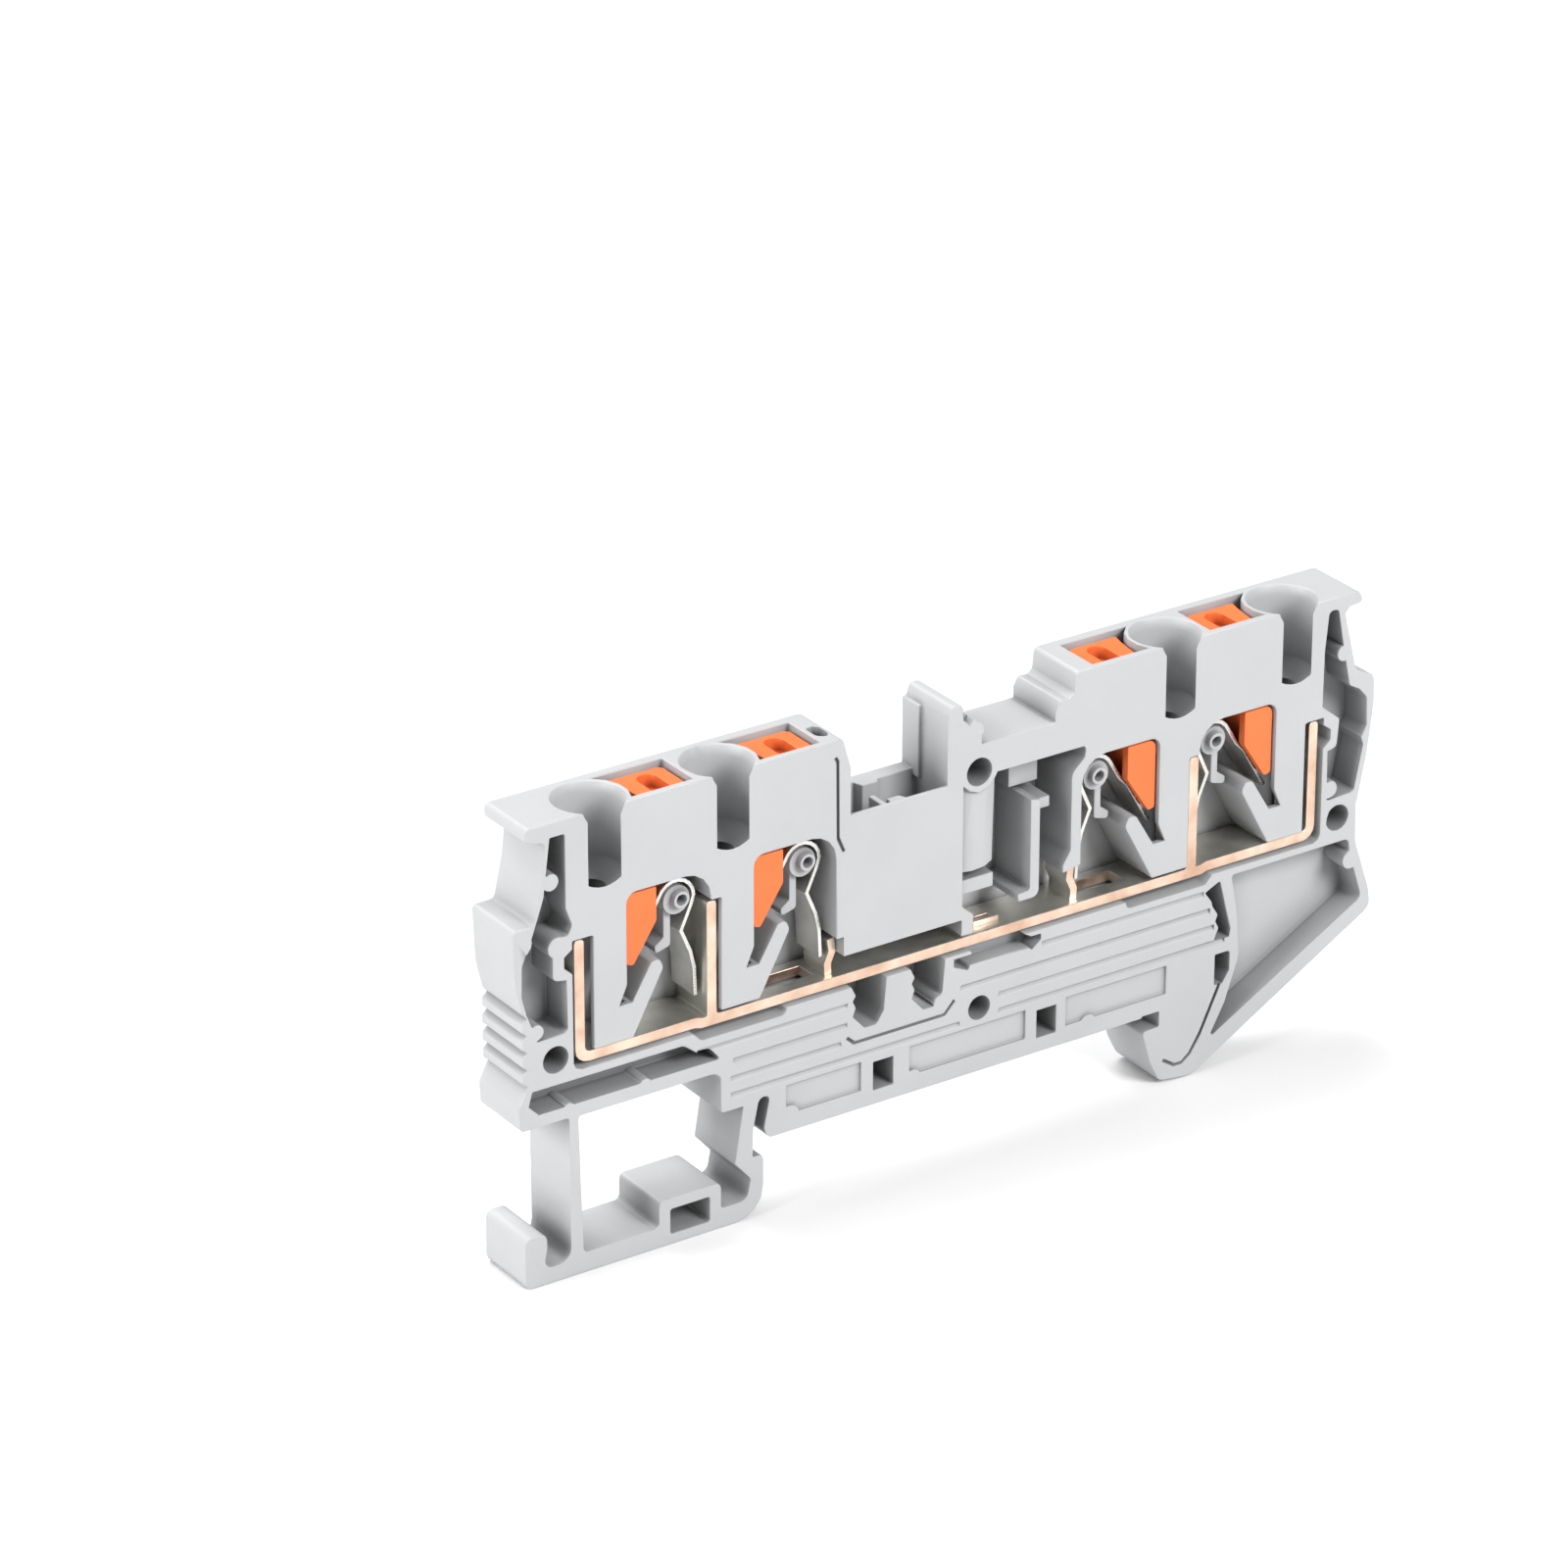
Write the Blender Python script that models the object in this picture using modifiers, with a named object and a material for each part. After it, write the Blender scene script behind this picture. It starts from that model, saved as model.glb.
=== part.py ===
"""A four-conductor push-in terminal block for a 35 mm rail.

X runs along the block, Y through its width and Z up. The origin lies on the face that rests on the rail,
midway between the two towers. The open side faces -Y, and a depth is measured inwards from it. Sizes are in
millimetres, and MM turns them into metres where a shape is made."""

import math

import bmesh
import bpy
from mathutils import Matrix, Vector

MM = 0.001

# The case
CASE_WIDTH = 5.2
HALF_LENGTH = 36.5
TOWER_TOP = 29.0
BACK_WALL = 0.8
FRONT_SKIN = 0.5
THIN_SKIN = 0.3
CHAMBER_DEPTH = CASE_WIDTH - BACK_WALL
END_POCKET_DEPTH = 2.7
LONG_POCKET_DEPTH = 2.2
RECESS_DEPTH = 2.3
PANEL_DEPTH = 0.25
HOLE_DEPTH = 3.6
PAST = 1.0
ROOT = 0.3

# Levels of the case, as heights over the rail seat
SHELF_Z = 21.7
BRIDGE_FLOOR_Z = 23.05
LEDGE_Z = 25.55
SKIRT_Z = 6.4
FOOT_BASE_Z = -5.95
HOOK_TOP_Z = -1.15

# The rail opening
RAIL_LEFT = -17.4
RAIL_RIGHT = 17.75
SEAT_LEFT = -16.0
HOOK_TIP = 16.25
SEAT_RIGHT = HOOK_TIP - 0.15

# The four conductor places: two in each tower, as mirror images
UNIT_PITCH = 10.35
OUTER_AXIS = 29.3
FUNNEL_DEPTH = 2.0
FUNNEL_RADIUS = 2.38
FUNNEL_MOUTH = 2.62
WIRE_RADIUS = 1.15
FUNNEL_SIDES = 28
SHAFT_RING = FUNNEL_RADIUS + 0.55

# The chambers below the towers
WINDOW_TOP = 22.05
PILLAR_BASE = 11.05
PILLAR_OUTER = -1.0
PILLAR_INNER = 1.7
WINDOW_INNER = 8.5

# The current bar
STRIP = 0.8
BAR_BASE = 9.95
BAR_RISE = 0.15
BAR_FRONT = 0.3
BAR_BACK = 4.1
BAR_SEAT_GAP = 0.25
LEG_TOP = 19.5
END_LEG = 31.65
MID_LEG = 20.95
TAB_X = 10.4
TAB_FRONT = 0.9
TAB_BACK = 3.5
HOLE_FRONT = 1.6
HOLE_BACK = 3.2

# The leg springs
SHEET = 0.3
SPRING_FRONT = 1.2
SPRING_BACK = 4.0
COIL_INWARD = 6.45
COIL_Z = 19.85
COIL_RADIUS = 1.45
COIL_TOP = COIL_Z + COIL_RADIUS + SHEET / 2
BOSS_RADIUS = COIL_RADIUS - SHEET / 2 - 0.2
BOSS_FRONT = 1.15
EYE_INWARD = COIL_INWARD + 0.1
EYE_Z = COIL_Z + 0.18
EYE_RADIUS = 0.4
LUG_RADIUS = EYE_RADIUS + 0.25
LUG_FRONT = 0.6
STEM_FRONT = 1.6

# The pushers
PUSHER_TRAVEL = 1.7
PUSHER_GAP = 0.3
PUSHER_TOP = 28.6
PUSHER_FRONT = FRONT_SKIN + PUSHER_GAP
PUSHER_BACK = 4.1
CHEEK_FRONT = 0.3
CHEEK_BACK = 1.0
HEAD_OUTER = 3.45
HEAD_INNER = 7.15
NOSE_OUTER = PILLAR_INNER + PUSHER_GAP / 2
SHANK_INNER = 3.2
NECK_INNER = 4.5
CHEEK_INNER = 4.3
HEAD_BASE = COIL_TOP + PUSHER_TRAVEL + 2 * PUSHER_GAP
SLOT_RADIUS = 0.75
SLOT_DEPTH = 0.9
SLOT_WALL = 0.5
SLOT_END = PUSHER_BACK - SLOT_WALL - SLOT_RADIUS
CORNER_CUT = 0.35

# Facets of the round stretches
SMALL_ARC = math.radians(36)
LARGE_ARC = math.radians(20)
SMALL_RADIUS = 0.6


def clear_scene():
    for item in list(bpy.data.objects):
        bpy.data.objects.remove(item, do_unlink=True)


def new_collection(name, parent, hidden=False):
    group = bpy.data.collections.new(name)
    parent.children.link(group)
    group.hide_render = hidden
    return group


def place_material(solid, name, colour, roughness, metallic=0.0):
    material = bpy.data.materials.get(name) or bpy.data.materials.new(name)
    material.use_nodes = True
    shader = material.node_tree.nodes["Principled BSDF"]
    shader.inputs["Base Color"].default_value = (*colour, 1.0)
    shader.inputs["Roughness"].default_value = roughness
    shader.inputs["Metallic"].default_value = metallic
    solid.data.materials.clear()
    solid.data.materials.append(material)


def arc(centre, radius, start, end, step=LARGE_ARC):
    """Points on an arc between two angles in degrees, with both ends."""
    sweep = math.radians(end - start)
    count = max(2, round(abs(sweep) / step))
    angles = [math.radians(start) + sweep * index / count for index in range(count + 1)]
    return [(centre[0] + radius * math.cos(t), centre[1] + radius * math.sin(t)) for t in angles]


def circle(x, z, radius, sides=16):
    turn = math.tau / sides
    return [(x + radius * math.cos(turn * i), z + radius * math.sin(turn * i)) for i in range(sides)]


def box(left, right, bottom, top):
    return [(left, bottom), (right, bottom), (right, top), (left, top)]


def corner_arc(before, here, after, radius):
    """The arc that rounds the corner at here, no longer than half of its shorter side."""
    back = (before - here).normalized()
    ahead = (after - here).normalized()
    half = back.angle(ahead) / 2
    shorter = min((before - here).length, (after - here).length)
    tangent = min(radius / math.tan(half), 0.49 * shorter)
    radius = tangent * math.tan(half)
    centre = here + (back + ahead).normalized() * radius / math.sin(half)
    first = here + back * tangent - centre
    sweep = math.pi - 2 * half
    if back.x * ahead.y - back.y * ahead.x > 0:
        sweep = -sweep
    step = SMALL_ARC if radius < SMALL_RADIUS else LARGE_ARC
    count = max(1, round(abs(sweep) / step))
    return [centre + Matrix.Rotation(sweep * i / count, 2) @ first for i in range(count + 1)]


def rounded(corners):
    """A closed outline from its corners. A third number is that corner's radius."""
    outline = []
    for index, corner in enumerate(corners):
        here = Vector(corner[:2])
        if len(corner) == 2:
            outline.append(here)
            continue
        before = Vector(corners[index - 1][:2])
        after = Vector(corners[(index + 1) % len(corners)][:2])
        outline += corner_arc(before, here, after, corner[2])
    return [tuple(point) for point in outline]


def band(path, width):
    """The outline of a strip of constant width along a path."""
    points = [Vector(point) for point in path]
    sides = ([], [])
    for index, point in enumerate(points):
        ahead = (points[min(index + 1, len(points) - 1)] - point).normalized()
        back = (point - points[max(index - 1, 0)]).normalized()
        along = (ahead + back).normalized()
        straight = ahead if ahead.length else back
        across = Vector((-along.y, along.x))
        reach = width / 2 / max(abs(along.dot(straight)), 0.5)
        sides[0].append(point + across * reach)
        sides[1].append(point - across * reach)
    return [tuple(point) for point in sides[0] + sides[1][::-1]]


def mirrored(side, corners):
    return [(side * corner[0], *corner[1:]) for corner in corners]


def at_unit(side, axis, corners):
    """Corners given as distances inwards from a conductor's axis, set in their place."""
    return [(side * (axis - corner[0]), *corner[1:]) for corner in corners]


def units():
    """The side and the axis of each conductor place, from left to right."""
    inner_axis = OUTER_AXIS - UNIT_PITCH
    return [(-1, OUTER_AXIS), (-1, inner_axis), (1, inner_axis), (1, OUTER_AXIS)]


def flat_solid(name, outline, thickness, matrix, group):
    """A flat outline with thickness, made a closed mesh whose place is in its points."""
    curve = bpy.data.curves.new(name, "CURVE")
    curve.dimensions = "2D"
    curve.fill_mode = "BOTH"
    curve.extrude = thickness / 2
    spline = curve.splines.new("POLY")
    spline.points.add(len(outline) - 1)
    for point, (u, v) in zip(spline.points, outline):
        point.co = (u, v, 0, 1)
    spline.use_cyclic_u = True
    guide = bpy.data.objects.new(name, curve)
    bpy.context.scene.collection.objects.link(guide)
    guide.matrix_world = Matrix.Scale(MM, 4) @ matrix
    bpy.context.view_layer.update()
    graph = bpy.context.evaluated_depsgraph_get()
    mesh = bpy.data.meshes.new_from_object(guide.evaluated_get(graph))
    close_mesh(mesh, guide.matrix_world)
    bpy.data.objects.remove(guide, do_unlink=True)
    solid = bpy.data.objects.new(name, mesh)
    group.objects.link(solid)
    hide_helper(solid, group)
    return solid


def close_mesh(mesh, matrix):
    mesh.transform(matrix)
    work = bmesh.new()
    work.from_mesh(mesh)
    bmesh.ops.remove_doubles(work, verts=work.verts, dist=1e-6)
    bmesh.ops.recalc_face_normals(work, faces=work.faces)
    work.to_mesh(mesh)
    work.free()


def hide_helper(solid, group):
    """Cutters and forms that are joined show as wire and aren't rendered."""
    if group.hide_render:
        solid.hide_render = True
        solid.display_type = "WIRE"


def slab(name, outline, front, back, group):
    """An outline in X and Z made solid between two depths from the open side."""
    middle = (front + back) / 2 - CASE_WIDTH / 2
    matrix = Matrix.Translation((0, middle, 0)) @ Matrix.Rotation(math.pi / 2, 4, "X")
    return flat_solid(name, outline, back - front, matrix, group)


def column(name, plan, bottom, top, group):
    """A plan, given as X and depth, made solid between two heights."""
    outline = [(x, depth - CASE_WIDTH / 2) for x, depth in plan]
    matrix = Matrix.Translation((0, 0, (bottom + top) / 2))
    return flat_solid(name, outline, top - bottom, matrix, group)


def turned(name, profile, x, depth, sides, group):
    """A profile of radii and heights, top to bottom, turned about an upright axis."""
    mesh = bpy.data.meshes.new(name)
    points = [(radius * MM, 0, height * MM) for radius, height in profile]
    mesh.from_pydata(points, [(i, i + 1) for i in range(len(points) - 1)], [])
    solid = bpy.data.objects.new(name, mesh)
    solid.location = (x * MM, (depth - CASE_WIDTH / 2) * MM, 0)
    group.objects.link(solid)
    hide_helper(solid, group)
    screw = solid.modifiers.new("turn", "SCREW")
    screw.axis = "Z"
    screw.steps = sides
    screw.render_steps = sides
    screw.use_merge_vertices = True
    screw.merge_threshold = 1e-6
    return solid


def v_groove(name, left, right, height, width, group):
    """A long bar on its edge, half sunk in the open side, that leaves a V groove."""
    half = width / 2
    outline = [(-half, 0), (0, -half), (half, 0), (0, half)]
    middle = ((left + right) / 2, -CASE_WIDTH / 2, height)
    matrix = Matrix.Translation(middle) @ Matrix.Rotation(math.pi / 2, 4, "Y")
    return flat_solid(name, outline, right - left, matrix, group)


def combine(solid, name, operation, group, solver="EXACT"):
    """A live Boolean with every object of a collection."""
    modifier = solid.modifiers.new(name, "BOOLEAN")
    modifier.operation = operation
    modifier.operand_type = "COLLECTION"
    modifier.collection = group
    modifier.solver = solver


def grip_corners():
    """The finger ridges at the left end, from the top one down."""
    top = 14.9
    pitch = 1.3
    valley = -35.65
    ridge = -36.05
    corners = []
    for index in range(4):
        start = top - pitch * index
        corners += [(valley, start), (ridge, start - 0.4), (ridge, start - pitch + 0.3)]
    return corners + [(valley, top - 4 * pitch)]


def left_end():
    """The outline from the left tower's top corner down to the rail seat."""
    shoulder = -HALF_LENGTH - 0.2
    skirt = -32.4
    lever = -36.1
    corners = [
        (-35.6, TOWER_TOP, 0.4),
        (-35.55, TOWER_TOP - 1.0, 0.2),
        (-34.0, TOWER_TOP - 1.45, 0.3),
        (-34.25, 25.0),
        (-34.95, SHELF_Z, 0.4),
        (shoulder, SHELF_Z, 0.35),
        (-HALF_LENGTH, 17.4),
        (-36.0, 15.3, 0.3),
    ]
    corners += grip_corners()
    corners += [
        (-36.4, 8.2, 0.3),
        (-36.3, SKIRT_Z, 0.3),
        (skirt, SKIRT_Z, 0.2),
        (skirt, -4.7, 1.0),
        (-34.65, -4.7, 0.8),
        (-34.3, -3.2, 0.2),
        (-34.3, -1.95, 0.6),
        (lever, -1.95, 0.6),
        (lever, FOOT_BASE_Z, 0.6),
        (-16.5, FOOT_BASE_Z, 2.6),
        (-16.5, HOOK_TOP_Z, 0.4),
        (RAIL_LEFT, HOOK_TOP_Z, 0.1),
        (RAIL_LEFT + 0.05, 1.0),
        (-16.85, 3.3, 0.42),
        (-15.95, 3.3, 0.42),
        (-16.5, 0.7, 0.3),
        (SEAT_LEFT, 0.0, 0.2),
    ]
    return corners


def right_end():
    """The outline from the rail seat round the fixed hook to the right tower's top corner."""
    return [
        (SEAT_RIGHT, 0.0),
        (HOOK_TIP, 0.15),
        (RAIL_RIGHT, 0.15, 0.1),
        (RAIL_RIGHT, HOOK_TOP_Z + 0.05, 0.1),
        (HOOK_TIP, HOOK_TOP_Z, 0.3),
        (17.0, -3.8),
        (17.9, -5.6, 0.8),
        (20.8, -5.95, 1.6),
        (36.9, 3.3, 0.9),
        (36.65, 4.9, 0.5),
        (35.3, 9.0, 1.0),
        (35.2, 12.0, 1.0),
        (36.0, 16.0, 1.0),
        (HALF_LENGTH, 20.0),
        (36.45, 22.0, 0.7),
        (34.75, 22.85, 0.4),
        (33.6, 27.5, 0.2),
        (34.0, TOWER_TOP - 1.05, 0.2),
        (35.25, TOWER_TOP - 0.95, 0.3),
        (34.8, TOWER_TOP, 0.5),
    ]


def middle_top():
    """The outline over the marker groove, the fin and the bridge pocket, from right to left."""
    return [
        (9.8, TOWER_TOP, 0.35),
        (9.65, 27.4, 0.25),
        (9.2, 27.05, 0.2),
        (8.45, 27.15, 0.2),
        (8.05, 26.4),
        (8.05, LEDGE_Z),
        (1.75, LEDGE_Z),
        (1.75, 26.25),
        (2.0, 26.45),
        (1.9, 27.0, 0.2),
        (0.1, 28.3),
        (0.1, TOWER_TOP, 0.3),
        (-0.85, TOWER_TOP, 0.3),
        (-1.15, 28.1),
        (-1.15, BRIDGE_FLOOR_Z),
        (-9.25, BRIDGE_FLOOR_Z),
        (-9.25, 26.7),
        (-9.6, 27.9),
        (-9.9, TOWER_TOP, 0.4),
    ]


def cut_windows(group):
    """The chamber seen below each tower: round the coil at its top and past the slanted rib at its foot."""
    for index, (side, axis) in enumerate(units()):
        window = [
            (PILLAR_INNER, WINDOW_TOP, 0.8),
            (WINDOW_INNER, WINDOW_TOP, 2.05),
            (WINDOW_INNER, PILLAR_BASE - 0.1),
            (2.1, PILLAR_BASE - 0.1),
            (4.65, 15.75, 0.3),
            (4.3, 16.5, 0.35),
            (3.65, 16.35, 0.2),
            (2.1, 13.75, 0.1),
            (1.05, 13.72),
            (PILLAR_INNER, 15.2, 0.4),
        ]
        slab(f"window_{index}", rounded(at_unit(side, axis, window)), -PAST, CHAMBER_DEPTH, group)
        passage = [
            (PILLAR_OUTER - 0.1, PILLAR_BASE - 0.2),
            (PILLAR_INNER + 0.1, PILLAR_BASE - 0.2),
            (PILLAR_INNER + 0.1, 20.4),
            (WIRE_RADIUS, 20.9),
            (WIRE_RADIUS, 22.3),
            (PILLAR_OUTER - 0.1, 22.3),
        ]
        slab(f"passage_{index}", at_unit(side, axis, passage), FRONT_SKIN, CHAMBER_DEPTH, group)


def cut_funnels(group):
    """The wire entries: a flared bore with a cone below, which break through the open side."""
    cone_top = 23.5
    cone_base = cone_top - 1.16
    profile = [
        (0.0, TOWER_TOP + PAST),
        (FUNNEL_MOUTH + 0.2, TOWER_TOP + PAST),
        (FUNNEL_MOUTH, TOWER_TOP),
        (FUNNEL_RADIUS, TOWER_TOP - 0.8),
        (FUNNEL_RADIUS, cone_top),
        (WIRE_RADIUS, cone_base),
        (WIRE_RADIUS, cone_base - 1.0),
        (0.0, cone_base - 1.0),
    ]
    for index, (side, axis) in enumerate(units()):
        turned(f"funnel_{index}", profile, side * axis, FUNNEL_DEPTH, FUNNEL_SIDES, group)


def shaft_plan(inner, front, back, ring):
    """A plan whose outer edge is hollowed by a circle round the conductor's axis."""
    front_edge = math.sqrt(ring**2 - (front - FUNNEL_DEPTH) ** 2)
    first = math.degrees(math.atan2(front - FUNNEL_DEPTH, front_edge))
    last = math.degrees(math.asin(min((back - FUNNEL_DEPTH) / ring, 0.99)))
    return [(inner, back), (inner, front)] + arc((0, FUNNEL_DEPTH), ring, first, last)


def cut_shafts(group):
    """The shaft of each pusher, behind the front skin and open to the chamber below."""
    plan = shaft_plan(HEAD_INNER + PUSHER_GAP, FRONT_SKIN, CHAMBER_DEPTH, SHAFT_RING)
    for index, (side, axis) in enumerate(units()):
        shaft = at_unit(side, axis, plan)
        column(f"shaft_{index}", shaft, WINDOW_TOP - 0.4, TOWER_TOP + PAST, group)


def cut_bar_channel(group):
    """The slots that hold the current bar: along its foot and up its four legs."""
    floor = BAR_BASE - BAR_SEAT_GAP
    channel = [
        (-END_LEG - 0.3, PILLAR_BASE),
        (-END_LEG - 0.3, floor + BAR_RISE, 1.2),
        (-22.0, floor + BAR_RISE),
        (-21.4, floor),
        (21.4, floor),
        (22.0, floor + BAR_RISE),
        (END_LEG + 0.3, floor + BAR_RISE, 1.2),
        (END_LEG + 0.3, PILLAR_BASE),
    ]
    slab("bar_channel", rounded(channel), -PAST, CHAMBER_DEPTH, group)
    end_pillar = OUTER_AXIS - PILLAR_OUTER
    mid_pillar = end_pillar - UNIT_PITCH
    for side in (-1, 1):
        end_slot = [
            (end_pillar, PILLAR_BASE - 0.2),
            (end_pillar, LEG_TOP + 0.25, 0.15),
            (END_LEG + 0.3, LEG_TOP + 0.25, 0.15),
            (END_LEG + 0.3, PILLAR_BASE - 0.2),
        ]
        slab(f"end_slot_{side}", rounded(mirrored(side, end_slot)), -PAST, CHAMBER_DEPTH, group)
        notch = [(31.8, 19.2), (31.8, 17.1), (32.6, 17.8, 0.1), (32.6, 18.65, 0.1)]
        slab(f"leg_notch_{side}", rounded(mirrored(side, notch)), -PAST, 2.0, group)
        mid_slot = [
            (mid_pillar, PILLAR_BASE - 0.2),
            (mid_pillar, LEG_TOP + 0.25, 0.15),
            (MID_LEG + 0.2, LEG_TOP + 0.25),
            (MID_LEG + 0.2, PILLAR_BASE - 0.2),
        ]
        slab(f"mid_slot_{side}", rounded(mirrored(side, mid_slot)), -PAST, CHAMBER_DEPTH, group)


def cut_middle(group):
    """The space over the bar between the towers, the test window and the two bridge shafts."""
    over_bar = [
        (-10.7, 13.85),
        (-9.8, 13.85, 0.1),
        (-9.8, 12.35),
        (0.2, 12.35, 0.1),
        (0.2, PILLAR_BASE - 0.15),
        (-10.7, PILLAR_BASE - 0.15),
    ]
    slab("over_bar", rounded(over_bar), -PAST, CHAMBER_DEPTH, group)
    window = [
        (0.2, 13.3),
        (0.2, 23.1),
        (10.8, 23.1, 0.45),
        (10.65, 22.2, 0.3),
        (9.55, 21.2, 0.8),
        (9.55, 15.2, 0.3),
        (8.9, 14.2, 0.2),
        (8.9, 13.6),
        (10.6, 13.9),
        (10.6, PILLAR_BASE - 0.15),
        (1.2, PILLAR_BASE - 0.15),
        (1.2, 12.6, 0.3),
    ]
    slab("test_window", rounded(window), -PAST, CHAMBER_DEPTH, group)
    shafts = [
        (-9.25, THIN_SKIN),
        (-6.55, THIN_SKIN),
        (-6.55, 1.85),
        (-6.1, 1.85),
        (-6.1, THIN_SKIN),
        (-5.75, THIN_SKIN),
        (-5.75, 0.85),
        (-4.7, 0.85),
        (-4.45, THIN_SKIN),
        (-1.15, THIN_SKIN),
        (-1.15, 3.9),
        (-4.4, 3.9),
        (-4.6, 3.5),
        (-5.9, 3.5),
        (-6.1, 4.3),
        (-9.25, 4.3),
    ]
    column("bridge_shafts", shafts, 11.6, BRIDGE_FLOOR_Z + PAST, group)
    nick = [(0.05, 28.5), (1.15, 27.7), (0.72, 27.25), (0.15, 27.65)]
    slab("fin_nick", nick, -PAST, 0.9, group)
    keyhole = [
        (-11.15, 1.5, 0.3),
        (-10.35, 0.9, 0.3),
        (-10.15, 2.4, 0.3),
        (-10.7, 3.05, 0.3),
        (-11.15, 2.7, 0.2),
    ]
    column("tower_keyhole", rounded(keyhole), 26.2, TOWER_TOP + PAST, group)


def cut_end_pockets(group):
    """The hollows behind the two end walls, with posts beside the bar's end legs."""
    left = [
        (-33.65, 27.9, 0.1),
        (-32.45, 27.9, 0.2),
        (-32.45, 22.3),
        (-31.95, 20.9, 0.3),
        (-32.3, 20.25, 0.2),
        (-33.5, 20.25, 0.3),
        (-33.55, 17.1, 0.4),
        (-32.45, 16.9),
        (-32.4, 13.0, 0.3),
        (-34.9, 12.9, 0.2),
        (-35.6, 15.2),
        (-36.05, 16.6),
        (-36.0, 18.9, 0.4),
        (-35.0, 21.2, 0.4),
        (-34.2, 23.6),
    ]
    slab("left_end_pocket", rounded(left), -PAST, END_POCKET_DEPTH, group)
    right = [
        (32.15, 28.0, 0.3),
        (32.95, 28.0, 0.3),
        (33.5, 25.1),
        (34.2, 21.7, 0.3),
        (35.1, 21.2),
        (35.8, 20.4, 0.3),
        (35.9, 18.1, 0.2),
        (35.4, 17.4),
        (35.65, 16.7, 0.1),
        (34.9, 13.1, 0.3),
        (32.4, 13.0, 0.2),
        (32.4, 16.9),
        (33.2, 17.1, 0.4),
        (33.4, 19.3, 0.3),
        (31.8, 20.6),
        (31.85, 25.0),
    ]
    slab("right_end_pocket", rounded(right), -PAST, END_POCKET_DEPTH, group)


def cut_lower_body(group):
    """The pockets under the bar and the recess beside the fixed hook."""
    long_pocket = [
        (-35.3, 9.2, 0.1),
        (-23.1, 9.2, 0.4),
        (-22.1, 8.4, 0.3),
        (-20.9, 8.35, 0.2),
        (-20.1, 7.35, 0.1),
        (-34.8, 7.35, 0.1),
        (-35.6, 8.15, 0.1),
    ]
    slab("long_pocket", rounded(long_pocket), -PAST, LONG_POCKET_DEPTH, group)
    for index, shift in enumerate((0.0, 5.0)):
        scallop = [
            (-6.15, 9.9),
            (-6.4, 7.2),
            (-7.0, 6.25, 0.4),
            (-8.0, 6.25, 0.2),
            (-9.0, 7.35),
            (-8.75, 8.0),
            (-9.0, 8.55),
            (-8.75, 8.95),
            (-9.2, 9.9),
        ]
        moved = [(corner[0] + shift, *corner[1:]) for corner in scallop]
        slab(f"centre_pocket_{index}", rounded(moved), -PAST, HOLE_DEPTH, group)
    spring_seat = [
        (-0.4, 9.4),
        (1.15, 9.4),
        (0.95, 9.9),
        (5.4, 9.9),
        (6.1, 9.4),
        (7.1, 9.4, 0.1),
        (7.1, 8.95, 0.1),
        (6.3, 8.3, 0.1),
        (6.0, 8.6),
        (0.95, 8.6),
        (0.8, 8.25, 0.1),
        (-0.4, 8.8, 0.1),
    ]
    slab("spring_seat", rounded(spring_seat), -PAST, 1.5, group)
    for side in (-1, 1):
        relief = [(22.3, 9.9), (21.6, 9.2, 0.3), (14.6, 9.2, 0.35), (14.6, 9.9)]
        slab(f"relief_{side}", rounded(mirrored(side, relief)), -PAST, 1.5, group)
    end_pocket = [
        (21.6, 8.55, 0.1),
        (22.95, 9.1, 0.1),
        (24.0, 5.0),
        (23.9, 4.4, 0.1),
        (22.5, 4.5, 0.1),
        (22.9, 5.4),
        (22.6, 6.0),
        (22.8, 6.5),
        (22.3, 7.3),
        (22.2, 7.7),
    ]
    slab("scalloped_pocket", rounded(end_pocket), -PAST, HOLE_DEPTH, group)
    recess = [
        (24.0, 9.3, 0.2),
        (34.6, 9.35, 0.4),
        (34.9, 7.4),
        (35.2, 6.8, 0.2),
        (36.0, 4.3, 0.5),
        (22.3, -3.4, 0.15),
        (23.7, -0.8, 0.6),
        (24.85, 2.6, 1.5),
        (24.6, 6.0),
    ]
    slab("hook_recess", rounded(recess), -PAST, RECESS_DEPTH, group)


def cut_foot(group):
    """The openings right through the foot, which let it flex on the rail."""
    cavity = [
        (-31.65, 6.35, 0.3),
        (-20.05, 6.35, 0.8),
        (-20.05, 3.05, 0.2),
        (-18.2, 3.05, 0.05),
        (-18.9, -1.3),
        (-17.6, -2.8, 0.2),
        (-17.9, -4.4, 0.7),
        (-20.05, -4.4, 0.2),
        (-20.05, -2.35, 0.4),
        (-25.2, -2.35, 0.4),
        (-25.2, -4.4, 0.4),
        (-31.35, -4.4, 0.3),
    ]
    slab("foot_cavity", rounded(cavity), -PAST, CASE_WIDTH + PAST, group)
    eye = [(-24.25, -5.15, 0.15), (-21.0, -5.15, 0.15), (-21.0, -3.2, 0.15), (-24.25, -3.2, 0.15)]
    slab("foot_eye", rounded(eye), -PAST, CASE_WIDTH + PAST, group)


def cut_lower_row(group):
    """The shallow panels over the rail seat and the square holes between them."""
    panel_base = 1.35
    panel_top = 3.6
    for index, (left, right) in enumerate(((-14.6, -8.3), (-4.2, 5.85), (9.4, 18.3))):
        panel = box(left, right, panel_base, panel_top)
        slab(f"panel_{index}", panel, -PAST, PANEL_DEPTH, group)
    for index, left in enumerate((-7.25, 6.85)):
        slab(f"square_hole_{index}", box(left, left + 1.7, 1.1, 3.3), -PAST, HOLE_DEPTH, group)
    side_hole = [(22.65, 0.8, 0.2), (23.4, 0.8), (24.0, 1.7), (24.0, 3.3, 0.25), (22.65, 3.3, 0.1)]
    slab("side_hole", rounded(side_hole), -PAST, HOLE_DEPTH, group)


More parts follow.
